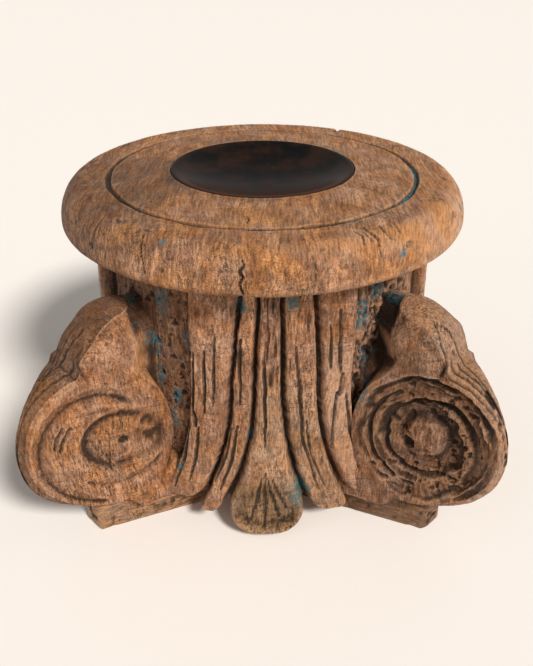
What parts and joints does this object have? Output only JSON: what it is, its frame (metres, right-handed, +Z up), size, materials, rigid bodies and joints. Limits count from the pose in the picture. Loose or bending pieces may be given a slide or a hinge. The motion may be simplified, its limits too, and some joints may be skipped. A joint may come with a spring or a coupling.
{
  "type": "column base",
  "caption": "Carved wooden column base: a round moulded top with a set-in metal dish, leafed bell, scrolled corner horns and a star-shaped foot.",
  "frame": {"origin": "middle of the underside, on the plane that it stands on", "axes": "+Z up through the middle of the dish; -Y out of the face that the picture shows, +X to its right"},
  "size_m": [0.2392, 0.2392, 0.175],
  "materials": {
    "carved_wood": "old bare hardwood, dry and worn, with traces of blue-green paint in the grooves",
    "dark_metal": "glossy near-black"
  },
  "bodies": {
    "root": {"carved_base": "carved_wood", "metal_dish": "dark_metal"}
  },
  "joints": []
}
